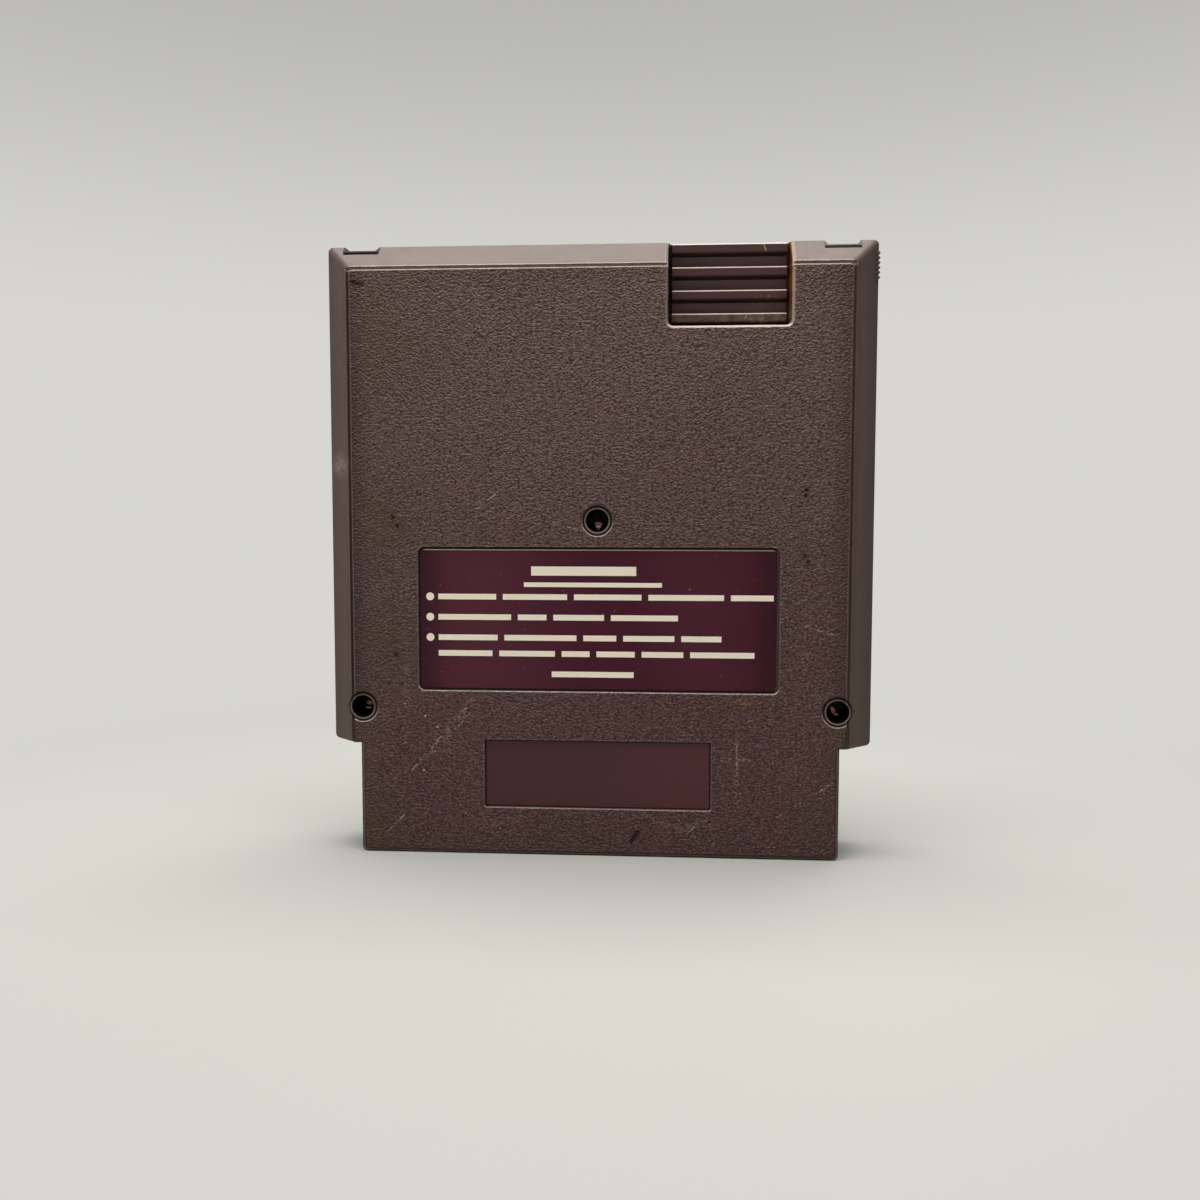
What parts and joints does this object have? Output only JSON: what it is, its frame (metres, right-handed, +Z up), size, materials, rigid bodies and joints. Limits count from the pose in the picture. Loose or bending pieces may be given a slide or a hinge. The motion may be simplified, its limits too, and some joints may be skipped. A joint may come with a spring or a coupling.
{
  "type": "game cartridge",
  "caption": "Two-shell plastic game cartridge with a bevelled grained rear, ribbed finger pocket, recessed label, screw wells and a circuit board with edge contacts in its open end.",
  "frame": {"origin": "under the middle of the lower (connector) end, which the cartridge stands on", "axes": "+Z up from the connector end to the top edge, +Y from the bevelled rear face to the front face, +X to the right seen from the rear, towards the finger pocket"},
  "size_m": [0.1202, 0.017, 0.1341],
  "materials": {
    "case_plastic": "fine grained, dark brown grey moulded plastic",
    "label_film": "printed paper sticker, dark aubergine",
    "screw_steel": "dull steel with rust",
    "board_laminate": "green solder mask over glass laminate",
    "contact_gold": "gold plated copper",
    "chip_epoxy": "matt black moulded epoxy",
    "tinned_metal": "tinned metal",
    "bead_ceramic": "tan dipped ceramic",
    "capacitor_can": "drawn aluminium",
    "capacitor_sleeve": "dark blue shrink sleeve",
    "capacitor_bung": "black rubber"
  },
  "bodies": {
    "root": {"rear_shell": "case_plastic", "front_shell": "case_plastic", "rear_label": "label_film", "case_screws": "screw_steel", "circuit_board": "board_laminate", "rear_contacts": "contact_gold", "front_contacts": "contact_gold", "program_chip": "chip_epoxy", "program_chip_pins": "tinned_metal", "graphics_chip": "chip_epoxy", "graphics_chip_pins": "tinned_metal", "lockout_chip": "chip_epoxy", "lockout_chip_pins": "tinned_metal", "lower_ceramic_capacitor": "bead_ceramic", "upper_ceramic_capacitor": "bead_ceramic", "ceramic_capacitor_leads": "tinned_metal", "round_capacitor_can": "capacitor_can", "round_capacitor_sleeve": "capacitor_sleeve", "round_capacitor_bung": "capacitor_bung", "round_capacitor_leads": "tinned_metal"}
  },
  "joints": []
}
